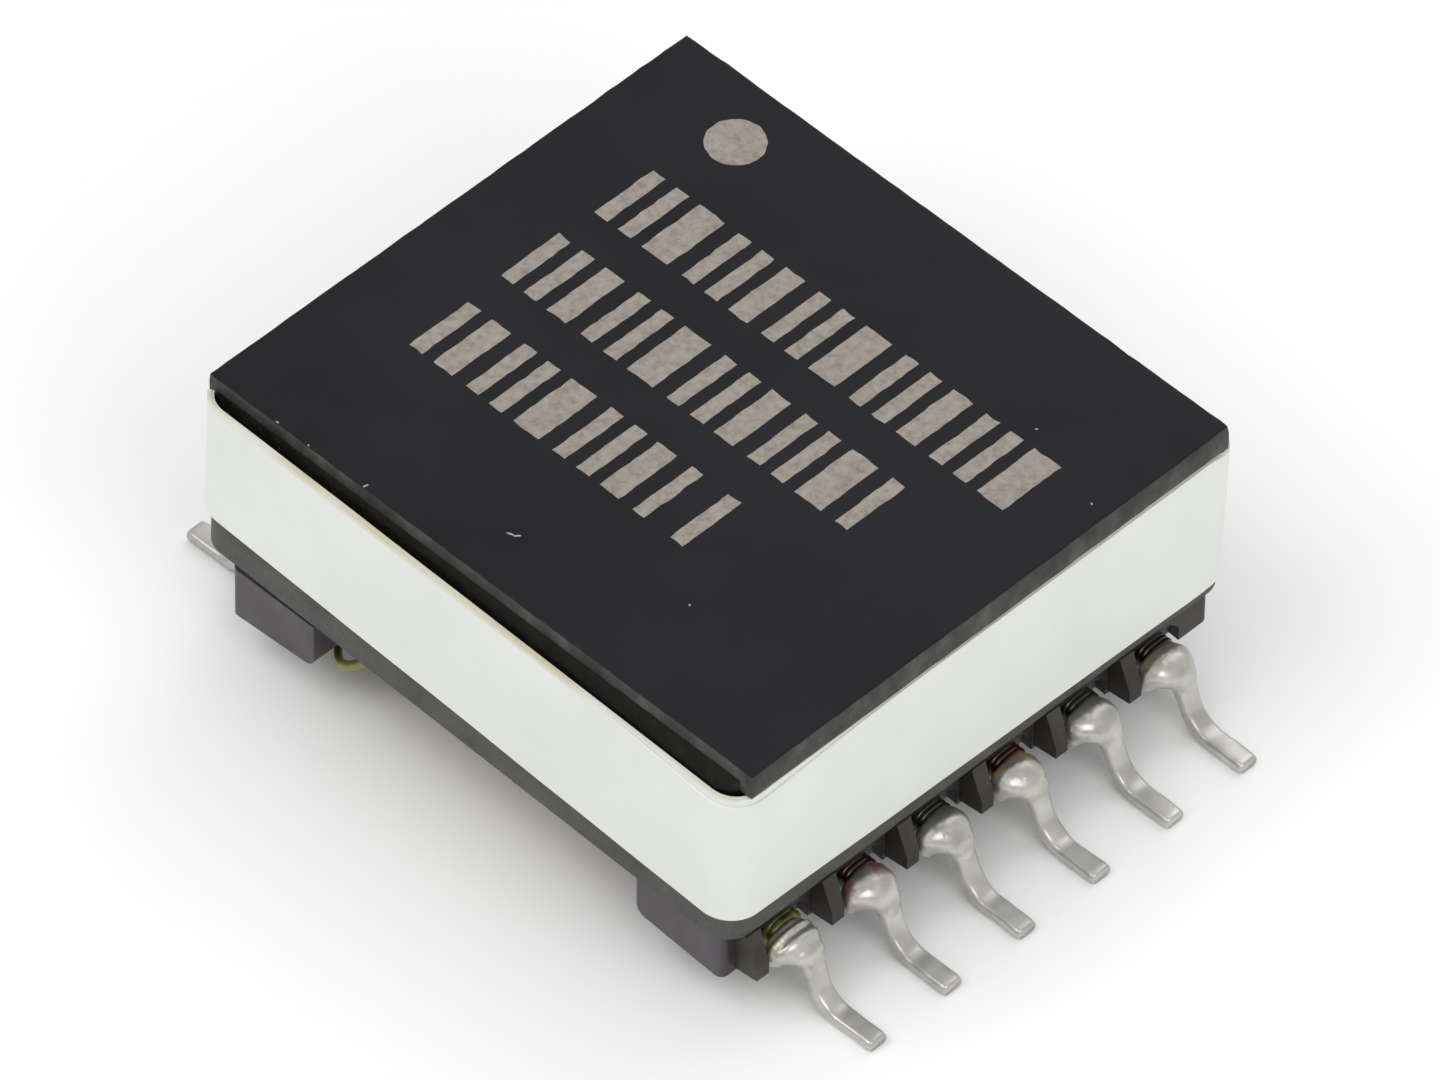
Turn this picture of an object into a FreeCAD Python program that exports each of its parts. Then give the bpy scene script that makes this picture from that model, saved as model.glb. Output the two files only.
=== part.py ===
import FreeCAD, Part
import math
import os

# Surface-mount power transformer with two rows of gull-wing terminals.
# A moulded bobbin carries the coil and, on two toothed rails, the terminals.
# Two flat E-shaped ferrite halves slide into the bobbin from its ends, white
# tape binds them, and a cover plate is glued on top as the pick-up face.
# X runs across the rows, Y along them, Z up. The origin is on the board,
# midway between the rows. All lengths are in millimetres.

# Driving dimensions: terminals
pin_pitch = 2.5
pins_per_row = 6
foot_length = 1.7
lead_width = 0.6
lead_thickness = 0.32
lead_floor = 0.16
lead_anchor_wall = 0.2
shank_reach = 0.95
shank_spread = 0.6
shank_bend_radius = 0.42
ankle_bend_radius = 0.62

# Driving dimensions: bobbin
rail_inner_reach = 5.4
rail_depth = 2.8
rail_end_margin = 1.95
rail_top_height = 2.68
left_rail_extra_height = 0.2
rail_inner_underside = 1.5
rail_outer_underside = 1.3
rail_toe_round = 0.3
rail_corner_round = 0.22
tooth_tip_reach = 0.68
tooth_lift = 0.1
tooth_root_depth = 0.2
tooth_crown_reach = 0.35
tooth_width = 0.54
tooth_taper = 0.07
tooth_tip_height = 0.38
flange_thickness = 0.6
flange_rail_overlap = 0.1
flange_bottom_height = 1.62
flange_bottom_rim = 0.17
flange_top_rim = 0.07
flange_corner_round = 0.5
tube_wall = 0.5
tube_side_slack = 0.15
tube_height_slack = 0.25
wire_pocket_length = 1.3
wire_pocket_end_margin = 0.85
wire_pocket_headroom = 0.24
wire_slot_margin = 0.1
wire_groove_slack = 0.04
wire_groove_wall = 0.06
recess_depth = 0.32
recess_half_width = 0.92
recess_rise = 0.44
recess_corner_bevel = 0.3

# Driving dimensions: ferrite core
core_side_overhang = 0.22
core_end_clearance = 1.27
core_side_clearance = 0.27
core_rail_clearance = 0.27
core_top_drop = 0.28
core_back_wall = 2.1
core_side_leg = 2.2
centre_leg_width = 5.8
centre_leg_height = 2.3
centre_leg_gap = 0.24
core_corner_radius = 0.75
core_window_bevel = 0.35
core_shift_across = -0.3
core_shift_along = 0.13
core_lean = 1.75

# Driving dimensions: coil
strand_layer = 0.125
layer_tape = 0.05
outer_wrap = 0.06
coil_end_gap = 0.02
coil_corner_bevel = 0.3

# Driving dimensions: binding tape
tape_thickness = 0.16
tape_corner_slack = 0.03
tape_reach_margin = 1.0
tape_top_rises = [0.51, -0.03, -0.39, -0.42]
tape_bottom_rises = [1.55, 0.47, 0.15, 1.23]
tape_end_length = 6.5
tape_end_step = 0.07

# Driving dimensions: cover plate and its adhesive
plate_length_excess = 0.26
plate_width_inset = 0.94
plate_thickness = 0.8
plate_flange_gap = 0.07
plate_shift_across = -0.16
plate_shift_along = 0.0
plate_edge_chamfer = 0.05
plate_tape_gap = 0.02
adhesive_inset = 0.06
bead_climb = 0.38
bead_front_drop = 0.06
bead_back_drop = 0.3

# Driving dimensions: lead-out wires and solder
fine_wire = 0.2
insulated_wire = 0.26
wire_bend_radius = 0.3
wire_exit_rise = 0.21
wire_exit_offset = 1.7
wire_exit_step = 0.75
wire_sag = 0.04
wire_turn_fit = 0.01
wire_solder_reach = 0.5
wire_bevel_share = 0.6
solder_start = 0.28
solder_lean = 0.2
solder_width = 1.45
solder_height = 1.0
solder_height_at_collar = 0.5
solder_width_at_collar = 0.78
solder_collar_reach = 0.62
solder_knee_drop = 0.1
solder_knee_push = 0.06
solder_bevel_share = 0.3

# Where the solder's sections lie, as shares of the shank's reach, and the shares
# of the full lean, width and height that each section has
solder_crest_place = 0.55
solder_brow_place = 0.84
solder_start_shares = (0.85, 0.84, 0.76)
solder_crest_shares = (1.0, 1.0, 1.0)
solder_brow_shares = (0.9, 0.86, 0.86)
solder_knee_shares = (0.35, 0.62, 0.62)

# Values that follow from the driving dimensions
up = FreeCAD.Vector(0, 0, 1)
across = FreeCAD.Vector(1, 0, 0)
along = FreeCAD.Vector(0, 1, 0)
row_half_length = (pins_per_row - 1) * pin_pitch / 2

rail_outer_reach = rail_inner_reach + rail_depth
rail_half_length = row_half_length + rail_end_margin
lead_exit_height = rail_outer_underside + lead_floor + lead_thickness / 2
pocket_end_reach = rail_inner_reach + wire_pocket_length
shank_knee = rail_outer_reach + shank_reach
foot_tip = shank_knee + shank_spread + foot_length

winding_names = ["primary_inner", "auxiliary_inner", "secondary_inner",
                 "secondary_outer", "auxiliary_outer", "primary_outer"]
coil_build = len(winding_names) * strand_layer + (len(winding_names) - 1) * layer_tape + outer_wrap
tube_half_width = centre_leg_width / 2 + tube_side_slack + tube_wall
tube_half_height = centre_leg_height / 2 + tube_height_slack + tube_wall
coil_half_height = tube_half_height + coil_build
coil_bottom_height = flange_bottom_height + flange_bottom_rim
coil_axis_height = coil_bottom_height + coil_half_height
flange_top_height = coil_axis_height + coil_half_height + flange_top_rim
flange_outer_reach = rail_inner_reach + flange_rail_overlap
flange_inner_reach = flange_outer_reach - flange_thickness
coil_half_length = flange_inner_reach - coil_end_gap
wire_exit_height = coil_bottom_height + wire_exit_rise

core_half_length = flange_outer_reach + core_end_clearance + core_back_wall
core_half_width = rail_half_length + core_side_overhang
flange_half_width = core_half_width - core_side_leg - core_side_clearance
core_bottom_height = rail_top_height + core_rail_clearance
core_top_height = flange_top_height - core_top_drop
core_place = FreeCAD.Vector(core_shift_across, core_shift_along, 0)

# Cutting shapes run on past what they cut: a little way, or clear of the whole part
overrun = 1.0
beyond = 4 * core_half_length
height_match = 0.01

plate_half_length = core_half_length + plate_length_excess / 2
plate_half_width = core_half_width - plate_width_inset / 2
plate_underside = flange_top_height + plate_flange_gap
plate_top_height = plate_underside + plate_thickness


def vector(x, y, z):
    return FreeCAD.Vector(x, y, z)


def block(x0, x1, y0, y1, z0, z1):
    return Part.makeBox(x1 - x0, y1 - y0, z1 - z0, vector(x0, y0, z0))


def rounded_loop(centre, first, second, half_first, half_second, radius):
    # Closed rectangle with rounded corners, in the plane of two unit vectors
    edges = []
    corners = [(1, 1), (-1, 1), (-1, -1), (1, -1)]
    bow = radius * (1 - math.sqrt(0.5))
    starts = []
    ends = []
    middles = []
    for index, (a, b) in enumerate(corners):
        tip_a = a * half_first
        tip_b = b * half_second
        on_second = centre + first * tip_a + second * (tip_b - b * radius)
        on_first = centre + first * (tip_a - a * radius) + second * tip_b
        middles.append(centre + first * (tip_a - a * bow) + second * (tip_b - b * bow))
        if index % 2 == 0:
            starts.append(on_second)
            ends.append(on_first)
        else:
            starts.append(on_first)
            ends.append(on_second)
    for index in range(4):
        edges.append(Part.Arc(starts[index], middles[index], ends[index]).toShape())
        edges.append(Part.LineSegment(ends[index], starts[(index + 1) % 4]).toShape())
    return Part.Wire(edges)


def bevelled_loop(centre, first, second, half_first, half_second, bevel):
    # Closed rectangle with its corners cut off, in the plane of two unit vectors
    near_first = half_first - bevel
    near_second = half_second - bevel
    spots = [(half_first, near_second), (near_first, half_second), (-near_first, half_second),
             (-half_first, near_second), (-half_first, -near_second), (-near_first, -half_second),
             (near_first, -half_second), (half_first, -near_second), (half_first, near_second)]
    return Part.makePolygon([centre + first * a + second * b for a, b in spots])


def core_window(z0, z1):
    # Opening between the back wall and the side legs of both halves
    loop = bevelled_loop(core_place + up * z0, across, along, core_half_length - core_back_wall,
                         core_half_width - core_side_leg, core_window_bevel)
    return Part.Face(loop).extrude(up * (z1 - z0))


def core_prism(half_x, half_y, radius, z0, z1):
    # Upright prism with rounded corners on the core's own centre
    loop = rounded_loop(core_place + up * z0, across, along, half_x, half_y, radius)
    return Part.Face(loop).extrude(up * (z1 - z0))


def bar_along_x(half_width, half_height, bevel, half_length):
    # Bar on the coil axis with its long edges bevelled
    start = vector(-half_length, 0, coil_axis_height)
    loop = bevelled_loop(start, along, up, half_width, half_height, bevel)
    return Part.Face(loop).extrude(across * (2 * half_length))


def coil_ring(inner_half_width, inner_half_height, build):
    # One closed layer round the bobbin tube
    bevel = coil_corner_bevel
    outer = bar_along_x(inner_half_width + build, inner_half_height + build, bevel, coil_half_length)
    return outer.cut(bar_along_x(inner_half_width, inner_half_height, bevel, beyond))


def rounded_path(points, radii):
    # Straight runs joined by tangent arcs, one radius for each inner point
    edges = []
    last = points[0]
    for index in range(1, len(points) - 1):
        corner = points[index]
        back = (points[index - 1] - corner).normalize()
        ahead = (points[index + 1] - corner).normalize()
        half_angle = back.getAngle(ahead) / 2
        reach = radii[index - 1] / math.tan(half_angle)
        start = corner + back * reach
        end = corner + ahead * reach
        bisector = (back + ahead).normalize()
        hub = corner + bisector * (radii[index - 1] / math.sin(half_angle))
        middle = hub - bisector * radii[index - 1]
        edges.append(Part.LineSegment(last, start).toShape())
        edges.append(Part.Arc(start, middle, end).toShape())
        last = end
    edges.append(Part.LineSegment(last, points[-1]).toShape())
    return edges


def offset_corners(points, distance):
    # Corners of a path in the XZ plane moved sideways, mitred at each bend
    moved = []
    count = len(points)
    for index in range(count):
        before = points[max(index, 1)] - points[max(index, 1) - 1]
        after = points[min(index, count - 2) + 1] - points[min(index, count - 2)]
        side_before = vector(-before.z, 0, before.x).normalize()
        side_after = vector(-after.z, 0, after.x).normalize()
        mitre = (side_before + side_after).normalize()
        moved.append(points[index] + mitre * (distance / mitre.dot(side_after)))
    return moved


def lead_corners():
    # Side view of a terminal on the +X row, along the middle of its thickness
    sole = lead_thickness / 2
    return [
        vector(pocket_end_reach + lead_anchor_wall, 0, lead_exit_height),
        vector(shank_knee, 0, lead_exit_height),
        vector(shank_knee + shank_spread, 0, sole),
        vector(foot_tip, 0, sole),
    ]


def make_terminal():
    corners = lead_corners()
    half = lead_thickness / 2
    upper = offset_corners(corners, half)
    lower = offset_corners(corners, -half)
    upper_edges = rounded_path(upper, [shank_bend_radius + half, ankle_bend_radius - half])
    lower_edges = rounded_path(lower, [shank_bend_radius - half, ankle_bend_radius + half])
    ends = [
        Part.LineSegment(upper[0], lower[0]).toShape(),
        Part.LineSegment(upper[-1], lower[-1]).toShape(),
    ]
    outline = Part.Wire(Part.__sortEdges__(upper_edges + lower_edges + ends))
    outline.translate(along * (-lead_width / 2))
    return Part.Face(outline).extrude(along * lead_width)


def make_solder():
    # Solder over the last wire turn, lying to one side, drawn down on to the shank
    corners = lead_corners()
    knee = corners[1]
    shank = (corners[2] - knee).normalize()
    root = vector(rail_outer_reach, 0, lead_exit_height)
    crown = (across + shank).normalize()
    stations = [
        (root + across * solder_start, across, solder_start_shares),
        (root + across * (solder_crest_place * shank_reach), across, solder_crest_shares),
        (root + across * (solder_brow_place * shank_reach), across, solder_brow_shares),
        (knee + across * solder_knee_push - up * solder_knee_drop, crown, solder_knee_shares),
    ]
    sections = []
    for centre, direction, (lean_share, width_share, height_share) in stations:
        sections.append(oval(centre - along * (solder_lean * lean_share), direction,
                             solder_width * width_share, solder_height * height_share))
    collar = knee + shank * solder_collar_reach
    sections.append(oval(collar, shank, solder_width_at_collar, solder_height_at_collar))
    return Part.makeLoft(sections, True, True)


def oval(centre, direction, width, height):
    # Eight-sided section square to a direction in the XZ plane
    tall = vector(-direction.z, 0, direction.x)
    return bevelled_loop(centre, along, tall, width / 2, height / 2, height * solder_bevel_share)


def to_row(shape, side, y):
    # Copy of a +X row piece at its place; side -1 turns it to the -X row
    piece = shape.copy()
    if side < 0:
        piece.rotate(vector(0, 0, 0), up, 180)
    piece.translate(along * y)
    return piece


def terminal_places():
    # Numbered from the marked corner down the -X row and back up the +X row
    places = []
    for index in range(pins_per_row):
        places.append((-1, row_half_length - index * pin_pitch))
    for index in range(pins_per_row):
        places.append((1, -row_half_length + index * pin_pitch))
    return places


def lean_with_core(shape):
    # The core sits a little out of level, lower at its +X end
    piece = shape.copy()
    piece.rotate(core_place + up * ((core_bottom_height + core_top_height) / 2), along, core_lean)
    return piece


def make_core_half(side):
    # Flat E half, modelled level and then leaned
    low = core_bottom_height - overrun
    high = core_top_height + overrun
    body = core_prism(core_half_length, core_half_width, core_corner_radius,
                      core_bottom_height, core_top_height)
    body = body.cut(core_window(low, high))
    leg_reach = core_half_length - core_back_wall / 2
    leg = bar_along_x(centre_leg_width / 2, centre_leg_height / 2, core_window_bevel, leg_reach)
    leg.translate(across * core_shift_across)
    body = body.fuse(leg).removeSplitter()
    gap_half = centre_leg_gap / 2
    gap = block(-gap_half, gap_half, -centre_leg_width, centre_leg_width, low, high)
    gap.translate(across * core_shift_across)
    body = body.cut(gap)
    if side < 0:
        keep = block(-beyond, 0, -beyond, beyond, low, high)
    else:
        keep = block(0, beyond, -beyond, beyond, low, high)
    keep.translate(core_place)
    return lean_with_core(body.common(keep))


def skewed_slab(reach_x, reach_y, tops, bottoms):
    # Space between two uneven surfaces, each given by its height at four corners
    # in turn from the front left one, and creased from front right to back left
    places = [(-reach_x, -reach_y), (reach_x, -reach_y), (reach_x, reach_y), (-reach_x, reach_y)]
    upper = [vector(x, y, z) for (x, y), z in zip(places, tops)]
    lower = [vector(x, y, z) for (x, y), z in zip(places, bottoms)]
    outlines = []
    for ring in (upper, lower):
        outlines.append([ring[0], ring[1], ring[3], ring[0]])
        outlines.append([ring[1], ring[2], ring[3], ring[1]])
    for index in range(4):
        after = (index + 1) % 4
        outlines.append([lower[index], lower[after], upper[after], upper[index], lower[index]])
    faces = [Part.Face(Part.makePolygon(outline)) for outline in outlines]
    return Part.Solid(Part.Shell(faces))


def make_tape():
    # Several turns leaning with the core, wound higher at the front left corner
    # than at the back, with the free end lapped on the -X side
    low = core_bottom_height - overrun
    high = plate_top_height + overrun
    outer_x = core_half_length + tape_thickness
    outer_y = core_half_width + tape_thickness
    outer = core_prism(outer_x, outer_y, core_corner_radius + tape_thickness, low, high)
    end_start = core_half_width - core_corner_radius
    tape_end = block(-outer_x - tape_end_step, -core_half_length,
                     end_start - tape_end_length, end_start, low, high)
    tape_end.translate(core_place)
    inner = core_prism(core_half_length, core_half_width, core_corner_radius - tape_corner_slack,
                       low - overrun, high + overrun)
    band = lean_with_core(outer.fuse(tape_end).cut(inner))
    slab = skewed_slab(outer_x + tape_reach_margin, outer_y + tape_reach_margin,
                       [plate_underside + rise for rise in tape_top_rises],
                       [core_bottom_height + rise for rise in tape_bottom_rises])
    return band.common(slab).cut(plate_block(plate_tape_gap))


def plate_block(margin):
    half_x = plate_half_length + margin
    half_y = plate_half_width + margin
    return block(plate_shift_across - half_x, plate_shift_across + half_x,
                 plate_shift_along - half_y, plate_shift_along + half_y,
                 plate_underside - margin, plate_top_height + margin)


def make_plate():
    plate = plate_block(0)
    return plate.makeChamfer(plate_edge_chamfer, plate.Edges)


def make_adhesive():
    # Bed between the core and the plate, squeezed up beside the plate's long sides
    half_x = core_half_length - adhesive_inset
    half_y = core_half_width - adhesive_inset
    top = plate_underside + bead_climb
    above = top + overrun
    bed = core_prism(half_x, half_y, core_corner_radius, core_top_height, above)
    window = core_window(core_bottom_height, above + overrun)
    bed = lean_with_core(bed.cut(window))
    for side, drop in ((-1, bead_front_drop), (1, bead_back_drop)):
        foot = plate_underside - drop
        plate_side = plate_shift_along + side * plate_half_width
        tape_side = core_shift_along + side * half_y
        far_side = side * beyond
        slope = Part.makePolygon([
            vector(-beyond, plate_side, top),
            vector(-beyond, tape_side, foot),
            vector(-beyond, far_side, foot),
            vector(-beyond, far_side, above + overrun),
            vector(-beyond, plate_side, above + overrun),
            vector(-beyond, plate_side, top),
        ])
        bed = bed.cut(Part.Face(slope).extrude(across * (2 * beyond)))
    plate_space = block(-beyond, beyond, plate_shift_along - plate_half_width,
                        plate_shift_along + plate_half_width, plate_underside, above + overrun)
    return bed.cut(plate_space)


def make_rail(top):
    # Rail of the +X row: a bar with a tooth between neighbouring terminals
    profile = Part.makePolygon([
        vector(rail_inner_reach, -rail_half_length, top),
        vector(rail_inner_reach, -rail_half_length, rail_inner_underside),
        vector(rail_outer_reach, -rail_half_length, rail_outer_underside),
        vector(rail_outer_reach, -rail_half_length, top),
        vector(rail_inner_reach, -rail_half_length, top),
    ])
    bar = Part.Face(profile).extrude(along * (2 * rail_half_length))
    posts = []
    for edge in bar.Edges:
        span = edge.BoundBox
        if span.ZLength > (top - rail_outer_underside) / 2 and span.XMin > rail_outer_reach - rail_depth / 2:
            posts.append(edge)
    bar = bar.makeFillet(rail_corner_round, posts)
    toe = []
    for edge in bar.Edges:
        span = edge.BoundBox
        if span.YLength > rail_half_length and abs(span.ZMax - rail_inner_underside) < height_match:
            toe.append(edge)
    bar = bar.makeFillet(rail_toe_round, toe)
    # Each terminal has its tooth on the same side, so the far end has none
    for index in range(pins_per_row):
        y = -row_half_length - pin_pitch / 2 + index * pin_pitch
        bar = bar.fuse(make_tooth(y, top))
    return bar


def make_tooth(y, top):
    # Wedge that leans out towards the board and narrows to its tip
    root = rail_outer_reach - tooth_root_depth
    tip = rail_outer_reach + tooth_tip_reach
    crown = rail_outer_reach + tooth_crown_reach
    tooth_underside = rail_outer_underside + tooth_lift
    side_profile = Part.makePolygon([
        vector(root, y - tooth_width, top),
        vector(root, y - tooth_width, tooth_underside),
        vector(tip, y - tooth_width, tooth_underside),
        vector(tip, y - tooth_width, tooth_underside + tooth_tip_height),
        vector(crown, y - tooth_width, top),
        vector(root, y - tooth_width, top),
    ])
    wedge = Part.Face(side_profile).extrude(along * (2 * tooth_width))
    root_half = tooth_width / 2
    tip_half = root_half - tooth_taper
    plan = Part.makePolygon([
        vector(root, y - root_half, 0),
        vector(tip, y - tip_half, 0),
        vector(tip, y + tip_half, 0),
        vector(root, y + root_half, 0),
        vector(root, y - root_half, 0),
    ])
    return wedge.common(Part.Face(plan).extrude(up * (top + overrun)))


def make_bobbin(cutters):
    right_rail = make_rail(rail_top_height)
    left_rail = to_row(make_rail(rail_top_height + left_rail_extra_height), -1, 0)
    body = right_rail.fuse(left_rail)
    body = body.fuse(bar_along_x(tube_half_width, tube_half_height, coil_corner_bevel, flange_outer_reach))
    flange_middle = (flange_top_height + flange_bottom_height) / 2
    flange_half_height = (flange_top_height - flange_bottom_height) / 2
    for x in (flange_inner_reach, -flange_outer_reach):
        loop = rounded_loop(vector(x, 0, flange_middle), along, up, flange_half_width, flange_half_height,
                            flange_corner_round)
        body = body.fuse(Part.Face(loop).extrude(across * flange_thickness))
    body = body.cut(bar_along_x(tube_half_width - tube_wall, tube_half_height - tube_wall,
                                core_window_bevel, beyond))
    for cutter in cutters:
        body = body.cut(cutter)
    return body.removeSplitter()


def wire_diameter(number):
    # The -X row and the first +X terminal carry the thicker insulated wire
    if number <= pins_per_row + 1:
        return insulated_wire
    return fine_wire


def wire_route(number, y):
    # From the coil's end face into the pocket under the rail, then out along
    # a groove beside the terminal
    half = wire_diameter(number) / 2
    groove_y = y - lead_width / 2 - wire_groove_wall - wire_groove_slack - half
    rank = round(abs(y) / pin_pitch - 0.5)
    exit_y = groove_y
    if rank > 0:
        exit_y = math.copysign(wire_exit_offset + wire_exit_step * rank, y)
    groove_height = lead_exit_height - wire_sag
    return [
        vector(coil_half_length, exit_y, wire_exit_height),
        vector(flange_outer_reach + wire_bend_radius, exit_y, wire_exit_height),
        vector(pocket_end_reach - wire_bend_radius, groove_y, groove_height),
        vector(rail_outer_reach + wire_solder_reach, groove_y, groove_height),
    ]


def make_wire(number, y):
    # The wire takes a few close turns round the root of its terminal before the solder
    points = wire_route(number, y)
    half = wire_diameter(number) / 2
    sections = [square_section(points[0], across, half)]
    for before, corner, after in zip(points, points[1:], points[2:]):
        middle = ((corner - before).normalize() + (after - corner).normalize()).normalize()
        sections.append(square_section(corner, middle, half))
    sections.append(square_section(points[-1], across, half))
    wire = Part.makeLoft(sections, True, True)
    half_width = lead_width / 2 + wire_turn_fit
    half_height = lead_thickness / 2 + wire_turn_fit
    room = recess_depth + solder_start - 2 * wire_turn_fit
    turns = int(room / (2 * half))
    end_x = rail_outer_reach + solder_start - wire_turn_fit
    start = vector(end_x - turns * 2 * half, y, lead_exit_height)
    outer = bevelled_loop(start, along, up, half_width + 2 * half, half_height + 2 * half,
                          2 * half * wire_bevel_share)
    inner = Part.makeBox(turns * 2 * half, 2 * half_width, 2 * half_height,
                         start - along * half_width - up * half_height)
    wrap = Part.Face(outer).extrude(across * (turns * 2 * half)).cut(inner)
    return wire.fuse(wrap).removeSplitter()


def square_section(centre, direction, half):
    # Eight-sided wire section facing along a direction
    side = up.cross(direction).normalize()
    tall = direction.cross(side).normalize()
    return bevelled_loop(centre, side, tall, half, half, half * wire_bevel_share)


def make_groove(number, y):
    # Slot in the flange foot and groove in the rail that the wire lies in
    points = wire_route(number, y)
    half = wire_diameter(number) / 2 + wire_groove_slack
    slot = block(flange_inner_reach - wire_slot_margin, flange_outer_reach + wire_slot_margin,
                 points[0].y - half, points[0].y + half, 0, points[0].z + half)
    groove = block(points[2].x, rail_outer_reach + tooth_tip_reach, points[2].y - half, points[2].y + half,
                   0, points[2].z + half)
    return slot.fuse(groove)


def make_pocket():
    # Recess under the rail in which the wires fan out
    half_width = row_half_length + wire_pocket_end_margin
    return block(flange_outer_reach, pocket_end_reach, -half_width, half_width,
                 0, wire_exit_height + wire_pocket_headroom)


def make_recess():
    # Rounded recess in the rail's face round the root of a terminal
    back = rail_outer_reach - recess_depth
    recess_top = lead_exit_height + recess_rise
    loop = bevelled_loop(vector(back, 0, 0), along, up, recess_half_width, recess_top, recess_corner_bevel)
    return Part.Face(loop).extrude(across * (2 * recess_depth))


def make_coil():
    # Six wound layers with tape between them, from the tube outwards
    width = tube_half_width
    height = tube_half_height
    layers = {}
    for index, name in enumerate(winding_names):
        layers["winding_" + name] = coil_ring(width, height, strand_layer)
        width += strand_layer
        height += strand_layer
        if index < len(winding_names) - 1:
            layers["layer_tape_%d" % (index + 1)] = coil_ring(width, height, layer_tape)
            width += layer_tape
            height += layer_tape
    layers["coil_outer_wrap"] = coil_ring(width, height, outer_wrap)
    return layers


def build_nodes():
    nodes = {}
    terminal = make_terminal()
    solder = make_solder()
    pocket = make_pocket()
    recess = make_recess()
    cutters = [pocket, to_row(pocket, -1, 0)]
    for number, (side, y) in enumerate(terminal_places(), start=1):
        # Each place is worked out in the +X row and then turned to its row
        row_y = side * y
        lead = to_row(terminal, side, y)
        wire = to_row(make_wire(number, row_y), side, 0)
        cutters.append(lead)
        cutters.append(to_row(make_groove(number, row_y), side, 0))
        cutters.append(to_row(recess, side, y))
        nodes["terminal_%02d" % number] = lead
        nodes["lead_wire_%02d" % number] = wire
        nodes["solder_joint_%02d" % number] = to_row(solder, side, y).cut(lead).cut(wire)
    nodes["bobbin"] = make_bobbin(cutters)
    nodes["core_half_left"] = make_core_half(-1)
    nodes["core_half_right"] = make_core_half(1)
    nodes.update(make_coil())
    nodes["cover_plate"] = make_plate()
    nodes["cover_adhesive"] = make_adhesive()
    nodes["core_binding_tape"] = make_tape()
    return nodes


# The binding tape is the outermost piece along Y, so the origin follows it
os.makedirs("parts", exist_ok=True)
for name, shape in build_nodes().items():
    shape.translate(along * -core_shift_along)
    shape.exportStep("parts/" + name + ".step")
    print(name, "solids", len(shape.Solids), "valid", shape.isValid(), "volume", round(shape.Volume, 4))
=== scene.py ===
import math
import bpy
import bmesh
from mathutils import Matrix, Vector, noise


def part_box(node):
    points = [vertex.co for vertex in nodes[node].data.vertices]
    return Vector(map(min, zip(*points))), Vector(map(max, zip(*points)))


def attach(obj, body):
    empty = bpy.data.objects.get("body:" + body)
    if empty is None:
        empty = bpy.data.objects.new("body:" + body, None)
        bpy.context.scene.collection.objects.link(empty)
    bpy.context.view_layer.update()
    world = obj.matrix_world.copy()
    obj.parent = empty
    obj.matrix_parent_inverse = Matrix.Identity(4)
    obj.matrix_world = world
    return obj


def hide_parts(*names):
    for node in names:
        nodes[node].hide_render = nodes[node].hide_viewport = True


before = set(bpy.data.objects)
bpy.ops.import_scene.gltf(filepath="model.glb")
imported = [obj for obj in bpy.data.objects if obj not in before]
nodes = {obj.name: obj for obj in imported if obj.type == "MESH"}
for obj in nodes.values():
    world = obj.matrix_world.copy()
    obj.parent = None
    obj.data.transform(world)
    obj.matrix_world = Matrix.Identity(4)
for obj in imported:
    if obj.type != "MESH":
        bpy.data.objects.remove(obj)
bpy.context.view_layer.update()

mm = 0.001   # every size below is written in millimetres
print("frame loaded:", len(nodes), "pieces")


# finishes

def newFinish(name, rough=0.5, metal=0.0, specular=0.5, coat=0.0, coatRough=0.2):
    finish = bpy.data.materials.new(name)
    finish.use_nodes = True
    tree = finish.node_tree
    shader = tree.nodes["Principled BSDF"]
    shader.inputs["Roughness"].default_value = rough
    shader.inputs["Metallic"].default_value = metal
    shader.inputs["Specular IOR Level"].default_value = specular
    shader.inputs["Coat Weight"].default_value = coat
    shader.inputs["Coat Roughness"].default_value = coatRough
    place = tree.nodes.new("ShaderNodeTexCoord")
    return finish, tree, shader, place.outputs["Object"]


def addNoise(tree, place, grain, detail, rough=0.55, stretch=None):
    # grain is the size of one patch in mm
    spot = tree.nodes.new("ShaderNodeTexNoise")
    spot.inputs["Scale"].default_value = 1.0 / (grain * mm)
    spot.inputs["Detail"].default_value = detail
    spot.inputs["Roughness"].default_value = rough
    if stretch:
        turn = tree.nodes.new("ShaderNodeMapping")
        turn.inputs["Scale"].default_value = stretch
        tree.links.new(place, turn.inputs["Vector"])
        place = turn.outputs["Vector"]
    tree.links.new(place, spot.inputs["Vector"])
    return spot.outputs["Fac"]


def addRamp(tree, source, stops):
    ramp = tree.nodes.new("ShaderNodeValToRGB")
    band = ramp.color_ramp
    while len(band.elements) < len(stops):
        band.elements.new(0.5)
    for element, (spot, tone) in zip(band.elements, stops):
        element.position = spot
        element.color = (*tone, 1.0)
    tree.links.new(source, ramp.inputs["Fac"])
    return ramp.outputs["Color"]


def addMix(tree, share, first, second, way="MIX"):
    mix = tree.nodes.new("ShaderNodeMix")
    mix.data_type = "RGBA"
    mix.blend_type = way
    # the sockets 6, 7 and 2 are the ones for colour
    for socket, value in ((mix.inputs["Factor"], share), (mix.inputs[6], first), (mix.inputs[7], second)):
        if hasattr(value, "is_linked"):
            tree.links.new(value, socket)
        elif isinstance(value, tuple):
            socket.default_value = (*value, 1.0)
        else:
            socket.default_value = value
    return mix.outputs[2]


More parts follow.
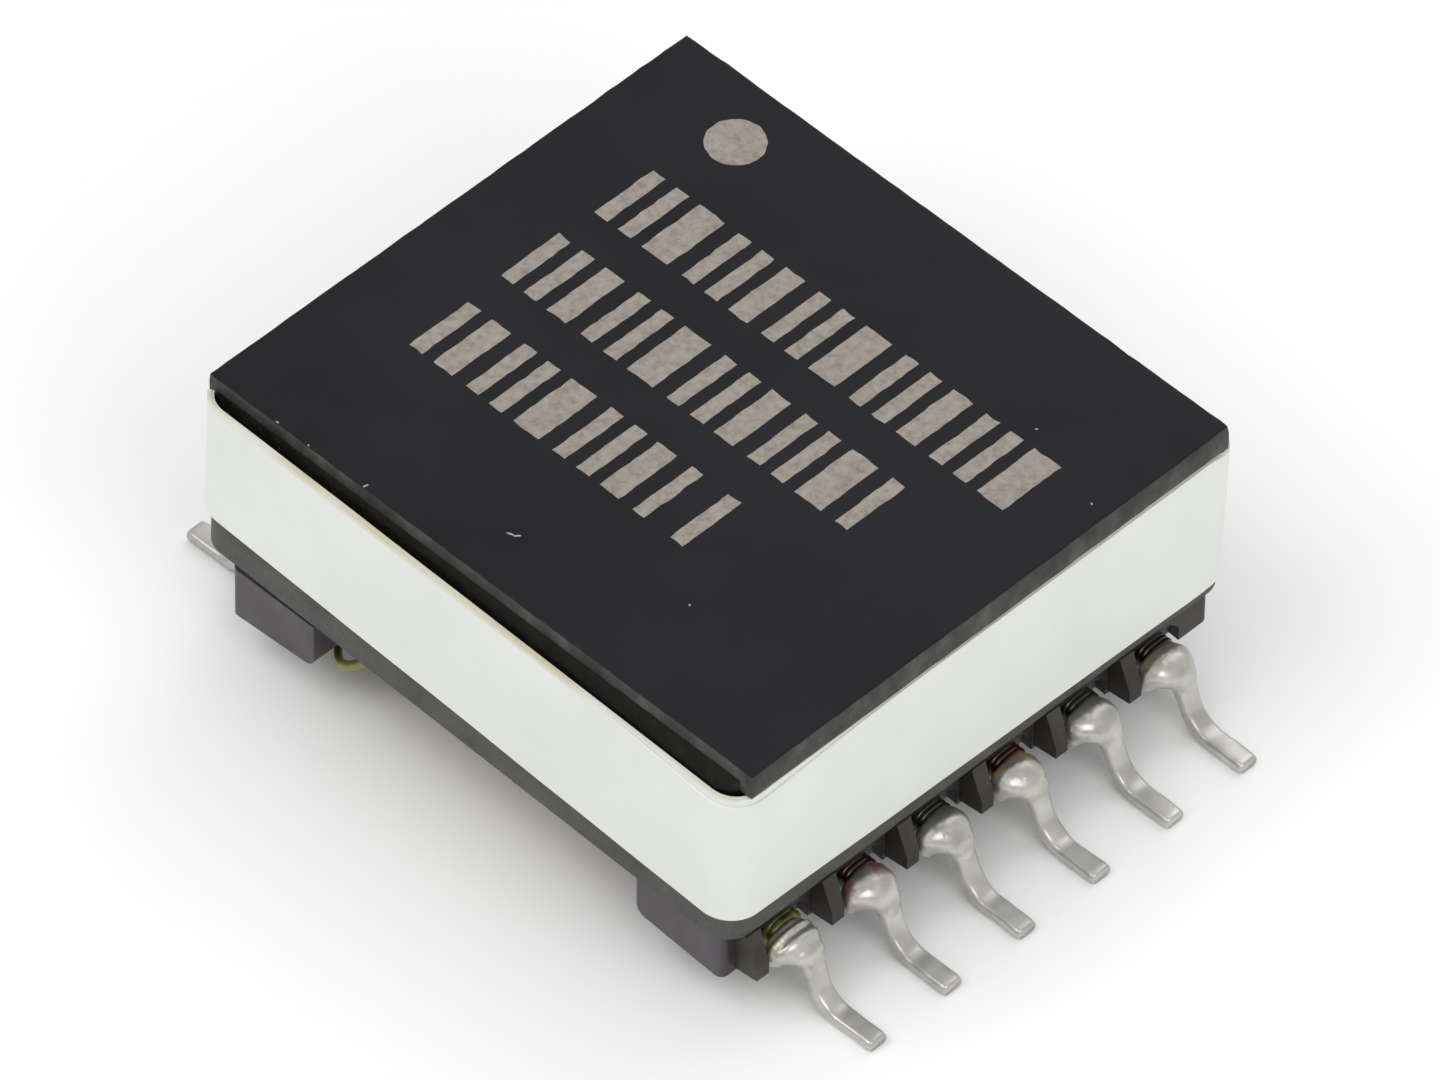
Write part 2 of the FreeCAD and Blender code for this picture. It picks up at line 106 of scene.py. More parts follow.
def addRange(tree, source, low, high, fromLow=0.0, fromHigh=1.0):
    span = tree.nodes.new("ShaderNodeMapRange")
    span.inputs["From Min"].default_value = fromLow
    span.inputs["From Max"].default_value = fromHigh
    span.inputs["To Min"].default_value = low
    span.inputs["To Max"].default_value = high
    tree.links.new(source, span.inputs["Value"])
    return span.outputs["Result"]


def addProduct(tree, first, second):
    product = tree.nodes.new("ShaderNodeMath")
    product.operation = "MULTIPLY"
    tree.links.new(first, product.inputs[0])
    tree.links.new(second, product.inputs[1])
    return product.outputs["Value"]


def addReach(tree, place):
    # distance to either side of the middle along X, in metres
    both = tree.nodes.new("ShaderNodeVectorMath")
    both.operation = "ABSOLUTE"
    tree.links.new(place, both.inputs[0])
    split = tree.nodes.new("ShaderNodeSeparateXYZ")
    tree.links.new(both.outputs["Vector"], split.inputs["Vector"])
    return split.outputs["X"]


def addBump(tree, shader, source, depth, strength, after=None):
    # depth in mm
    bump = tree.nodes.new("ShaderNodeBump")
    bump.inputs["Strength"].default_value = strength
    bump.inputs["Distance"].default_value = depth * mm
    tree.links.new(source, bump.inputs["Height"])
    if after:
        tree.links.new(after, bump.inputs["Normal"])
    tree.links.new(bump.outputs["Normal"], shader.inputs["Normal"])
    return bump.outputs["Normal"]


def addTurns(tree, place, pitch):
    # stripes across X for close turns of wire, pitch in mm
    stripe = 0.157   # width of the texture's own stripe at scale 1
    turns = tree.nodes.new("ShaderNodeTexWave")
    turns.bands_direction = "X"
    turns.inputs["Scale"].default_value = stripe / (pitch * mm)
    tree.links.new(place, turns.inputs["Vector"])
    return turns.outputs["Fac"]


def tint(r, g, b):
    # screen colour, 0 to 255, to the shader's linear colour
    def one(v):
        v = v / 255
        return v / 12.92 if v <= 0.04045 else ((v + 0.055) / 1.055) ** 2.4
    return (one(r), one(g), one(b))


def coverResinFinish():
    finish, tree, shader, place = newFinish("coverResin", rough=0.55, specular=0.14)
    cloud = addNoise(tree, place, 3.5, 3)
    grain = addNoise(tree, place, 0.06, 3, 0.6)
    tone = addRamp(tree, cloud, [(0.3, tint(26, 26, 30)), (0.7, tint(34, 33, 38))])
    fleck = addRamp(tree, grain, [(0.62, tint(0, 0, 0)), (0.78, tint(40, 40, 44))])
    tree.links.new(addMix(tree, 0.35, tone, fleck, "ADD"), shader.inputs["Base Color"])
    tree.links.new(addRange(tree, cloud, 0.44, 0.6), shader.inputs["Roughness"])
    addBump(tree, shader, grain, 0.012, 0.5)
    return finish


def cutEdgeFinish():
    # sawn sides of the cover, paler and cloudy, with faint saw marks
    finish, tree, shader, place = newFinish("coverCutEdge", rough=0.62, specular=0.25)
    cloud = addNoise(tree, place, 0.8, 5, 0.62, (1.0, 1.0, 0.7))
    streak = addNoise(tree, place, 0.3, 4, 0.6, (1.0, 1.0, 0.35))
    grain = addNoise(tree, place, 0.05, 3)
    tone = addRamp(tree, cloud, [(0.34, tint(48, 47, 45)), (0.52, tint(66, 65, 62)), (0.68, tint(84, 83, 80))])
    tree.links.new(tone, shader.inputs["Base Color"])
    first = addBump(tree, shader, streak, 0.02, 0.5)
    addBump(tree, shader, grain, 0.015, 0.5, first)
    return finish


def printFinish():
    finish, tree, shader, place = newFinish("coverPrint", rough=0.68, specular=0.3)
    blotch = addNoise(tree, place, 0.22, 5, 0.7)
    tone = addRamp(tree, blotch, [(0.28, tint(124, 116, 108)), (0.5, tint(150, 142, 133)),
                                  (0.72, tint(164, 157, 148))])
    tree.links.new(tone, shader.inputs["Base Color"])
    addBump(tree, shader, blotch, 0.008, 0.5)
    return finish


def lintFinish():
    finish, tree, shader, place = newFinish("paleLint", rough=0.8, specular=0.2)
    fluff = addNoise(tree, place, 0.04, 3)
    tree.links.new(addRamp(tree, fluff, [(0.35, tint(128, 129, 130)), (0.65, tint(186, 187, 188))]),
                   shader.inputs["Base Color"])
    addBump(tree, shader, fluff, 0.01, 0.6)
    return finish


def adhesiveFinish():
    finish, tree, shader, place = newFinish("adhesive", rough=0.4, specular=0.18, coat=0.05)
    wave = addNoise(tree, place, 0.7, 4)
    tone = addRamp(tree, wave, [(0.3, tint(5, 4, 3)), (0.6, tint(12, 10, 6)), (0.8, tint(34, 29, 16))])
    tree.links.new(tone, shader.inputs["Base Color"])
    addBump(tree, shader, wave, 0.12, 0.8)
    return finish


soakSpec = {  # adhesive in the tape's top edge on the front side, in mm
    "slope": 0.0269,           # fall of that edge for each mm towards +X
    "band": (7.88, 8.03),      # height over which it sets in
    "front": (-8.3, -8.1),     # places along Y between which it ends
}


def whiteTapeFinish():
    finish, tree, shader, place = newFinish("whiteTape", rough=0.42, specular=0.45, coat=0.12, coatRough=0.35)
    cloud = addNoise(tree, place, 2.4, 3, 0.5)
    weave = addNoise(tree, place, 0.08, 3, 0.6)
    ripple = addNoise(tree, place, 1.6, 2, 0.4, (0.3, 0.3, 1.0))
    tone = addRamp(tree, cloud, [(0.25, tint(221, 224, 220)), (0.75, tint(229, 231, 227))])
    slope = tree.nodes.new("ShaderNodeVectorMath")
    slope.operation = "DOT_PRODUCT"
    slope.inputs[1].default_value = (soakSpec["slope"], 0.0, 1.0)
    tree.links.new(place, slope.inputs[0])
    nearEdge = addRange(tree, slope.outputs["Value"], 0.0, 1.0, *[z * mm for z in soakSpec["band"]])
    facing = tree.nodes.new("ShaderNodeSeparateXYZ")
    tree.links.new(place, facing.inputs["Vector"])
    onFront = addRange(tree, facing.outputs["Y"], 1.0, 0.0, *[y * mm for y in soakSpec["front"]])
    soaked = addProduct(tree, addProduct(tree, nearEdge, onFront), addRange(tree, cloud, 0.15, 0.8, 0.35, 0.6))
    tree.links.new(addMix(tree, soaked, tone, tint(196, 186, 150)), shader.inputs["Base Color"])
    tree.links.new(addRange(tree, cloud, 0.36, 0.5), shader.inputs["Roughness"])
    first = addBump(tree, shader, ripple, 0.03, 0.35)
    addBump(tree, shader, weave, 0.006, 0.4, first)
    return finish


def ferriteFinish():
    finish, tree, shader, place = newFinish("ferrite", rough=0.62, specular=0.4)
    cloud = addNoise(tree, place, 1.2, 4)
    grain = addNoise(tree, place, 0.07, 4, 0.7)
    pit = tree.nodes.new("ShaderNodeTexVoronoi")
    pit.inputs["Scale"].default_value = 1.0 / (0.35 * mm)
    tree.links.new(place, pit.inputs["Vector"])
    pits = addRange(tree, pit.outputs["Distance"], 0.0, 1.0, 0.02, 0.16)
    tone = addRamp(tree, cloud, [(0.3, tint(78, 77, 75)), (0.7, tint(98, 97, 94))])
    speck = addRamp(tree, grain, [(0.35, tint(120, 120, 120)), (0.6, tint(200, 200, 200)),
                                  (0.8, tint(255, 255, 255))])
    tree.links.new(addMix(tree, 0.5, tone, speck, "MULTIPLY"), shader.inputs["Base Color"])
    first = addBump(tree, shader, pits, 0.02, 0.5)
    addBump(tree, shader, grain, 0.02, 0.6, first)
    return finish


stainAndShadeReach = (8.1, 8.2)    # mm from the middle to where the rails' outer faces get flux stain and painted shade


def bobbinFinish():
    finish, tree, shader, place = newFinish("bobbinResin", rough=0.48, specular=0.45)
    cloud = addNoise(tree, place, 0.9, 4)
    grain = addNoise(tree, place, 0.09, 3, 0.6)
    tone = addRamp(tree, cloud, [(0.28, tint(62, 58, 62)), (0.72, tint(84, 79, 84))])
    # flux has browned the outer faces of the rails, between and under the terminals; the same dark brown also paints
    # the shade that falls on the rails and their teeth there
    outside = addRange(tree, addReach(tree, place), 0.0, 1.0, *[x * mm for x in stainAndShadeReach])
    patches = addRange(tree, addNoise(tree, place, 0.9, 3), 0.68, 1.0, 0.35, 0.6)
    # dark brown tone: part flux stain, part painted shade
    stainedAndShaded = addMix(tree, addProduct(tree, outside, patches), tone, tint(40, 36, 30))
    tree.links.new(stainedAndShaded, shader.inputs["Base Color"])
    tree.links.new(addRange(tree, cloud, 0.4, 0.58), shader.inputs["Roughness"])
    first = addBump(tree, shader, cloud, 0.03, 0.4)
    addBump(tree, shader, grain, 0.012, 0.5, first)
    return finish


def tinFinish():
    finish, tree, shader, place = newFinish("tinnedLead", rough=0.34, metal=0.85, specular=0.6)
    lump = addNoise(tree, place, 0.8, 2, 0.4)
    grain = addNoise(tree, place, 0.09, 3, 0.6)
    tone = addRamp(tree, lump, [(0.3, tint(182, 180, 176)), (0.7, tint(206, 204, 200))])
    tree.links.new(tone, shader.inputs["Base Color"])
    tree.links.new(addRange(tree, grain, 0.24, 0.48), shader.inputs["Roughness"])
    first = addBump(tree, shader, lump, 0.05, 0.5)
    addBump(tree, shader, grain, 0.006, 0.3, first)
    return finish


fluxSpec = {
    "reach": (8.5, 9.05),      # mm from the middle, thick residue and thin
    "amount": (0.66, 0.24),
    "most": 0.8,               # it never hides the solder altogether
}


def solderFinish(name, flux):
    # flux is the residue's colour where it has crept over the solder
    finish, tree, shader, place = newFinish(name, rough=0.3, metal=0.75, specular=0.6)
    lump = addNoise(tree, place, 0.5, 3, 0.5)
    blot = addNoise(tree, place, 0.6, 3, 0.55)
    clean = addRamp(tree, lump, [(0.3, tint(182, 180, 174)), (0.7, tint(210, 208, 203))])
    # the residue is thickest beside the rail and thins out along the terminal
    close = addRange(tree, addReach(tree, place), *fluxSpec["amount"], *[x * mm for x in fluxSpec["reach"]])
    crept = addProduct(tree, addRange(tree, blot, 0.0, 1.0, 0.36, 0.6), close)
    mask = addRange(tree, crept, 0.0, fluxSpec["most"], 0.2, 0.5)
    tree.links.new(addMix(tree, mask, clean, flux), shader.inputs["Base Color"])
    tree.links.new(addRange(tree, mask, 0.8, 0.25), shader.inputs["Metallic"])
    tree.links.new(addRange(tree, lump, 0.22, 0.42), shader.inputs["Roughness"])
    addBump(tree, shader, lump, 0.08, 0.5)
    return finish


def enamelFinish(name, dark, light):
    finish, tree, shader, place = newFinish(name, rough=0.28, specular=0.55, coat=0.5, coatRough=0.15)
    patch = addNoise(tree, place, 0.5, 3)
    tree.links.new(addRamp(tree, patch, [(0.3, dark), (0.7, light)]), shader.inputs["Base Color"])
    addBump(tree, shader, addNoise(tree, place, 0.1, 2), 0.01, 0.4)
    return finish


def windingFinish():
    finish, tree, shader, place = newFinish("windingWire", rough=0.32, metal=0.4, coat=0.5)
    turns = addTurns(tree, place, 0.12)
    tone = addRamp(tree, turns, [(0.2, tint(70, 30, 14)), (0.7, tint(168, 88, 44))])
    tree.links.new(tone, shader.inputs["Base Color"])
    addBump(tree, shader, turns, 0.04, 0.9)
    return finish


def filmFinish():
    # thin yellow film, the wire turns showing faintly through it
    finish, tree, shader, place = newFinish("layerFilm", rough=0.26, specular=0.5, coat=0.5, coatRough=0.12)
    turns = addTurns(tree, place, 0.24)
    cloud = addNoise(tree, place, 1.8, 4)
    tone = addRamp(tree, cloud, [(0.3, tint(184, 146, 58)), (0.7, tint(214, 182, 92))])
    show = addMix(tree, addRange(tree, turns, 0.0, 0.25), tone, tint(130, 84, 34))
    tree.links.new(show, shader.inputs["Base Color"])
    first = addBump(tree, shader, turns, 0.02, 0.5)
    addBump(tree, shader, cloud, 0.08, 0.5, first)
    return finish


coverResin = coverResinFinish()
cutEdge = cutEdgeFinish()
coverPrint = printFinish()
paleLint = lintFinish()
adhesive = adhesiveFinish()
whiteTape = whiteTapeFinish()
ferrite = ferriteFinish()
bobbinResin = bobbinFinish()
tinnedLead = tinFinish()
windingWire = windingFinish()
layerFilm = filmFinish()
fluxTones = {
    "olive": tint(140, 142, 66),
    "red": tint(120, 40, 26),
    "amber": tint(176, 132, 62),
    "dark": tint(70, 62, 48),
}
solderBy = {name: solderFinish("solder" + name.title(), tone) for name, tone in fluxTones.items()}
wireBy = {
    "olive": enamelFinish("oliveWire", tint(48, 52, 18), tint(132, 134, 44)),
    "red": enamelFinish("redWire", tint(26, 12, 9), tint(66, 24, 17)),
    "brown": enamelFinish("brownWire", tint(22, 15, 11), tint(48, 30, 19)),
    "green": enamelFinish("greenWire", tint(24, 27, 18), tint(54, 58, 31)),
}
print("finishes made")


# making and placing pieces

def addPiece(name, points, faces, finishes, stands=(), faceFinish=None, smooth=True):
    # points in mm; the piece rides on the part and takes its finishes in order
    mesh = bpy.data.meshes.new(name)
    mesh.from_pydata([(x * mm, y * mm, z * mm) for x, y, z in points], [], faces)
    piece = bpy.data.objects.new(name, mesh)
    bpy.context.scene.collection.objects.link(piece)
    for finish in finishes:
        mesh.materials.append(finish)
    for index, face in enumerate(mesh.polygons):
        face.use_smooth = smooth
        if faceFinish:
            face.material_index = faceFinish[index]
    tidy = bmesh.new()
    tidy.from_mesh(mesh)
    bmesh.ops.recalc_face_normals(tidy, faces=tidy.faces)
    tidy.to_mesh(mesh)
    tidy.free()
    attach(piece, "root")
    if stands:
        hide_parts(*stands)
    return piece


def softenEdges(piece, width):
    bevel = piece.modifiers.new("softEdge", "BEVEL")
    bevel.width = width * mm
    bevel.segments = 2
    bevel.limit_method = "ANGLE"
    bevel.angle_limit = math.radians(35)


def dressNode(name, finish, edge=0.0):
    piece = nodes[name]
    if not piece.material_slots:
        piece.data.materials.append(finish)
    for slot in piece.material_slots:
        slot.material = finish
    if edge:
        softenEdges(piece, edge)


def waver(x, y, z, size, seed):
    # smooth unevenness, -1 to 1, with patches of about size mm
    return noise.noise(Vector((x / size + seed, y / size - seed, z / size + 0.5 * seed)))


def clamp(value):
    return min(1, max(0, value))


def boxOf(name):
    low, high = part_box(name)
    return low / mm, high / mm


def joinRings(rings, closed=False):
    # faces between neighbouring rings of the same number of points, with a cap at each end unless closed
    count = len(rings[0])
    points = [point for ring in rings for point in ring]
    faces = []
    total = len(rings)
    for row in range(total if closed else total - 1):
        a = row * count
        b = ((row + 1) % total) * count
        for i in range(count):
            j = (i + 1) % count
            faces.append((a + i, a + j, b + j, b + i))
    if not closed:
        faces.append(tuple(reversed(range(count))))
        faces.append(tuple(range((total - 1) * count, total * count)))
    return points, faces


# cover plate and its print

coverSpec = {
    "edgeSteps": 60,       # points along each side
    "lowerEdge": [(0.0, 0.02), (0.02, 0.006), (0.25, 0.004)],                   # height above the underside, inset
    "upperEdge": [(0.25, 0.004), (0.05, 0.006), (0.015, 0.018), (0.0, 0.05)],   # depth below the top, inset
    "resinBands": 2,       # bands of faces next to the top that belong to it, not to the sawn sides
    "rimWear": 0.034,      # how far the sawn rim wanders
    "rimBand": 0.1,        # it wanders in full this close to the top and the underside
    "sideWear": 0.3,       # share of that on the sides between
    "wearPatches": [(0.5, 3.0), (0.12, 9.0)],      # size and seed, coarse and fine
    "sideBand": 0.05,      # points this close to a side are pulled in from it
    "printDepth": 0.006,   # the print stands this far above the sheet
}


def makeCover():
    low, high = boxOf("cover_plate")
    top = high.z - coverSpec["printDepth"]
    steps = coverSpec["edgeSteps"]
    corners = [(low.x, low.y), (high.x, low.y), (high.x, high.y), (low.x, high.y)]
    outline = []
    for index, (x0, y0) in enumerate(corners):
        x1, y1 = corners[(index + 1) % 4]
        outline += [(x0 + (x1 - x0) * i / steps, y0 + (y1 - y0) * i / steps) for i in range(steps)]
    middle = Vector(((low.x + high.x) / 2, (low.y + high.y) / 2))
    levels = [(low.z + rise, inset) for rise, inset in coverSpec["lowerEdge"]]
    levels += [(top - depth, inset) for depth, inset in coverSpec["upperEdge"]]
    (coarse, coarseSeed), (fine, fineSeed) = coverSpec["wearPatches"]
    rimWear, rimBand, sideBand = coverSpec["rimWear"], coverSpec["rimBand"], coverSpec["sideBand"]
    rings = []
    for z, inset in levels:
        onRim = z > top - rimBand or z < low.z + rimBand
        ring = []
        for x, y in outline:
            wear = rimWear * (0.5 + 0.5 * waver(x, y, z, coarse, coarseSeed))
            wear += 0.5 * rimWear * abs(waver(x, y, z, fine, fineSeed))
            pull = inset + (wear if onRim else coverSpec["sideWear"] * wear)
            besideX = min(x - low.x, high.x - x) < sideBand
            besideY = min(y - low.y, high.y - y) < sideBand
            ring.append((x + math.copysign(pull, middle.x - x) * besideX,
                         y + math.copysign(pull, middle.y - y) * besideY, z))
        rings.append(ring)
    points, faces = joinRings(rings)
    count = len(outline)
    firstResin = len(levels) - 1 - coverSpec["resinBands"]
    faceFinish = [0 if index // count >= firstResin else 1 for index in range(len(faces))]
    addPiece("coverSheet", points, faces, [coverResin, cutEdge], ["cover_plate"], faceFinish)


printSpec = {
    "spot": (-5.79, 6.08, 0.76),     # centre and radius
    "spotSteps": 72,
    "strokeHeight": 1.95,
    "rows": [                        # start, end and middle height of each row
        (-6.5, 7.0, 3.05),
        (-6.6, 5.35, 0.0),
        (-6.5, 1.3, -3.1),
        (2.15, 3.15, -3.1),
    ],
    "strokes": [0.42, 0.42, 0.86, 0.42, 0.42, 0.64],
    "gaps": [0.36, 0.36, 0.46],
    "leastStroke": 0.25,             # a row ends where no more than this is left
    "sideSteps": 10,                 # points along each side of a stroke
    "wear": 0.035,
    "spotPatch": 0.25, "strokePatch": 0.3,
}


def printPatch(points, faces, outline, z0, z1):
    start = len(points)
    count = len(outline)
    points += [(x, y, z0) for x, y in outline] + [(x, y, z1) for x, y in outline]
    faces.append(tuple(start + count + i for i in range(count)))
    faces.append(tuple(start + i for i in reversed(range(count))))
    for i in range(count):
        j = (i + 1) % count
        faces.append((start + i, start + j, start + count + j, start + count + i))


def strokeOutline(x, y, width, number):
    half = printSpec["strokeHeight"] / 2
    steps, wear, patch = printSpec["sideSteps"], printSpec["wear"], printSpec["strokePatch"]
    outline = []
    for side in range(4):
        for i in range(steps):
            t = i / steps
            px = [x + width * t, x + width, x + width * (1 - t), x][side]
            py = [y - half, y - half + 2 * half * t, y + half, y + half - 2 * half * t][side]
            px += wear * waver(px, py, number, patch, 1)
            py += wear * waver(px, py, number, patch, 7)
            outline.append((px, py))
    return outline


def makePrint():
    # as deep below the sheet's face as it stands above it
    z1 = boxOf("cover_plate")[1].z
    z0 = z1 - 2 * coverSpec["printDepth"]
    points, faces = [], []
    x, y, radius = printSpec["spot"]
    ring = []
    for i in range(printSpec["spotSteps"]):
        angle = 2 * math.pi * i / printSpec["spotSteps"]
        c, s = math.cos(angle), math.sin(angle)
        reach = radius + printSpec["wear"] * waver(c, s, 0, printSpec["spotPatch"], 5)
        ring.append((x + reach * c, y + reach * s))
    printPatch(points, faces, ring, z0, z1)
    strokes, gaps = printSpec["strokes"], printSpec["gaps"]
    number = 0
    for start, end, y in printSpec["rows"]:
        x = start
        while x < end - printSpec["leastStroke"]:
            width = min(strokes[number % len(strokes)], end - x)
            printPatch(points, faces, strokeOutline(x, y, width, number), z0, z1)
            x += width + gaps[number % len(gaps)]
            number += 1
    addPiece("coverPrint", points, faces, [coverPrint], smooth=False)


speckSpec = {
    "places": [                      # place, length, width and turn of each pale chip or bit of lint
        (-6.89, -8.05, 0.1, 0.06, 20), (-5.84, -8.05, 0.08, 0.05, -30), (-3.99, -8.02, 0.2, 0.05, 75),
        (-0.52, -6.66, 0.2, 0.05, 20), (-0.36, -6.58, 0.2, 0.05, 48), (4.0, -5.27, 0.07, 0.05, 0),
        (5.74, 4.5, 0.07, 0.05, 40), (8.31, 3.7, 0.07, 0.05, -20),
    ],
    "steps": 12,
    "ragged": 0.35, "raggedPatch": 0.7,
    "rimGap": 0.03,                  # none comes closer to the front edge
}


def makeSpecks():
    low, high = boxOf("cover_plate")
    z0, z1 = high.z - 3 * coverSpec["printDepth"], high.z
    steps = speckSpec["steps"]
    points, faces = [], []
    for number, (x, y, length, width, turn) in enumerate(speckSpec["places"]):
        ring = []
        bend = math.radians(turn)
        for i in range(steps):
            angle = 2 * math.pi * i / steps
            c, s = math.cos(angle), math.sin(angle)
            reach = 1 + speckSpec["ragged"] * waver(c, s, number, speckSpec["raggedPatch"], 3)
            a, b = reach * length / 2 * c, reach * width / 2 * s
            ring.append((x + a * math.cos(bend) - b * math.sin(bend),
                         max(low.y + speckSpec["rimGap"], y + a * math.sin(bend) + b * math.cos(bend))))
        printPatch(points, faces, ring, z0, z1)
    addPiece("coverSpecks", points, faces, [paleLint], smooth=False)


makeCover()
makePrint()
makeSpecks()
dressNode("cover_adhesive", adhesive)
print("cover plate made")


# binding tape

bobbinMiddle = -0.13   # along Y

tapeSpec = {
    "lean": math.radians(1.75),
    "core": (-0.3, 0.0, 5.225),      # middle of the core
    "half": (8.87, 8.42),            # core half sizes the tape lies against
    "corner": 0.75,
    "sideStep": 0.4, "cornerSteps": 10,
    "reach": (10.03, 9.58),          # places at which the edge heights are given
    "tops": (8.36, 7.82, 7.77, 7.43),      # front left, front right, back right, back left
    "bottoms": (4.5, 3.42, 2.92, 4.18),
    "farDrop": (0.36, 0.86),         # top edge lower along the far side, from this share of the way there
    "turns": [                       # inner face, outer face, edge drawn back at top and bottom
        (0.0, 0.06, 0.0, 0.0),
        (0.06, 0.11, 0.02, 0.02),
        (0.11, 0.16, 0.26, 0.03),
    ],
    "cornerShow": 3.0,               # the turns show apart within this reach of the front right corner
    "leastShow": 0.05,               # share of their drawing back that is left elsewhere
    "cornerPull": 0.5,               # the turns are this much thinner round the back right corner
    "edgeWander": 0.035, "wanderPatch": 2.5,
    "plateGap": 0.03,                # kept below the plate, and as far beyond its rim
    "edgeRound": 0.25,               # share of a turn's thickness
    "edgeCrest": 0.3,                # share of that round by which the edge rises in the middle
    "edgeBand": 0.5,                 # from an edge to the next points on the outer face
    "crease": math.radians(40),
}


def tapePoint(x, y, rise):
    lean = tapeSpec["lean"]
    cx, cy, cz = tapeSpec["core"]
    return (cx + x * math.cos(lean) + rise * math.sin(lean), cy + y, cz - x * math.sin(lean) + rise * math.cos(lean))


def tapeEdge(x, y, heights):
    # rise above the core's middle at which an edge of the tape lies
    cx, cy, cz = tapeSpec["core"]
    reachX, reachY = tapeSpec["reach"]
    px, py = (cx + x) / reachX, (cy + y - bobbinMiddle) / reachY
    frontLeft, frontRight, backRight, backLeft = heights
    if px + py < 0:
        z = frontLeft + (frontRight - frontLeft) * (px + 1) / 2 + (backLeft - frontLeft) * (py + 1) / 2
    else:
        z = backRight + (backLeft - backRight) * (1 - px) / 2 + (frontRight - backRight) * (1 - py) / 2
    return z - cz + x * math.sin(tapeSpec["lean"])


def roundedOutline(halfX, halfY, radius):
    cornerSteps = tapeSpec["cornerSteps"]
    outline = []
    for index, (sx, sy) in enumerate([(1, 1), (-1, 1), (-1, -1), (1, -1)]):
        hubX, hubY = sx * (halfX - radius), sy * (halfY - radius)
        for i in range(cornerSteps + 1):
            angle = math.radians(90 * index + 90 * i / cornerSteps)
            outline.append((hubX + radius * math.cos(angle), hubY + radius * math.sin(angle)))
        length = 2 * (halfX - radius) if index % 2 == 0 else 2 * (halfY - radius)
        steps = int(length / tapeSpec["sideStep"])
        x0, y0 = outline[-1]
        away = (-sx, 0) if index % 2 == 0 else (0, -sy)
        outline += [(x0 + away[0] * length * i / steps, y0 + away[1] * length * i / steps) for i in range(1, steps)]
    return outline


def makeTapeTurn(number, inner, outer, dropTop, dropBottom):
    radius = tapeSpec["corner"]
    hx, hy = tapeSpec["half"]
    farDrop, farStart = tapeSpec["farDrop"]
    least, gap, band = tapeSpec["leastShow"], tapeSpec["plateGap"], tapeSpec["edgeBand"]
    bulge = tapeSpec["edgeRound"] * (outer - inner)
    inside = roundedOutline(hx + inner, hy + inner, radius + inner)
    outside = roundedOutline(hx + outer, hy + outer, radius + outer)
    plateLow, plateHigh = boxOf("cover_plate")
    rings = []
    for bare, (xi, yi), (xo, yo) in zip(roundedOutline(hx, hy, radius), inside, outside):
        away = math.hypot(xo - hx, yo + hy) / tapeSpec["cornerShow"]
        apart = least + (1 - least) * math.exp(-away * away)
        tight = 1 - tapeSpec["cornerPull"] * math.exp(-math.hypot(xo - hx, yo - hy) ** 2 / radius ** 2)
        xi, yi, xo, yo = [side + (spot - side) * tight for side, spot in zip(bare * 2, (xi, yi, xo, yo))]
        drift = tapeSpec["edgeWander"] * (0.5 + 0.5 * waver(xo, yo, number, tapeSpec["wanderPatch"], number))
        low = tapeEdge(xo, yo, tapeSpec["bottoms"]) + dropBottom + drift
        far = clamp((yo / hy - farStart) / (1 - farStart))
        high = tapeEdge(xo, yo, tapeSpec["tops"]) - dropTop * apart - drift - farDrop * far * far * (3 - 2 * far)
        wx, wy, wz = tapePoint(xi, yi, high)
        if plateLow.x - gap < wx < plateHigh.x + gap and plateLow.y - gap < wy < plateHigh.y + gap:
            high = min(high, high - (wz - plateLow.z) - gap)
        rings.append([tapePoint(xi, yi, low), tapePoint(xi, yi, high),
                      tapePoint(xi * 0.5 + xo * 0.5, yi * 0.5 + yo * 0.5, high + tapeSpec["edgeCrest"] * bulge),
                      tapePoint(xo, yo, high - bulge), tapePoint(xo, yo, high - band),
                      tapePoint(xo, yo, low + band), tapePoint(xo, yo, low + bulge)])
    return joinRings(rings, closed=True)


tapeEndSpec = {
    "run": (1.17, 7.67),             # along Y, on the -X side
    "steps": 24,
    "stand": 0.06,                   # how far it stands out from the turns below
    "standStart": 0.25, "standRise": 3,    # share of that at the start, and its growth over the run
    "lowInset": 0.1, "highInset": 0.5,     # from the tape's edges
    "sink": 0.01,                    # into the turns below
    "bevel": 0.03,
}


def makeTapeEnd():
    # the free end, lapped over the turns
    y0, y1 = tapeEndSpec["run"]
    steps, bevel = tapeEndSpec["steps"], tapeEndSpec["bevel"]
    x0 = -tapeSpec["half"][0] - tapeSpec["turns"][-1][1]
    root = x0 + tapeEndSpec["sink"]
    rings = []
    for i in range(steps + 1):
        y = y0 + (y1 - y0) * i / steps
        face = x0 - tapeEndSpec["stand"] * min(1.0, tapeEndSpec["standStart"] + tapeEndSpec["standRise"] * i / steps)
        low = tapeEdge(x0, y, tapeSpec["bottoms"]) + tapeEndSpec["lowInset"]
        high = tapeEdge(x0, y, tapeSpec["tops"]) - tapeEndSpec["highInset"]
        rings.append([tapePoint(root, y, low), tapePoint(root, y, high),
                      tapePoint(face, y, high - bevel), tapePoint(face, y, low + bevel)])
    return joinRings(rings)


def makeTape():
    points, faces = [], []
    sheets = [makeTapeTurn(number, *turn) for number, turn in enumerate(tapeSpec["turns"])]
    for sheetPoints, sheetFaces in sheets + [makeTapeEnd()]:
        base = len(points)
        points += sheetPoints
        faces += [tuple(base + i for i in face) for face in sheetFaces]
    tape = addPiece("bindingTape", points, faces, [whiteTape], ["core_binding_tape"])
    creased = tape.modifiers.new("flatSides", "EDGE_SPLIT")
    creased.split_angle = tapeSpec["crease"]


makeTape()
print("binding tape made")


# core, bobbin and coil keep their built shapes

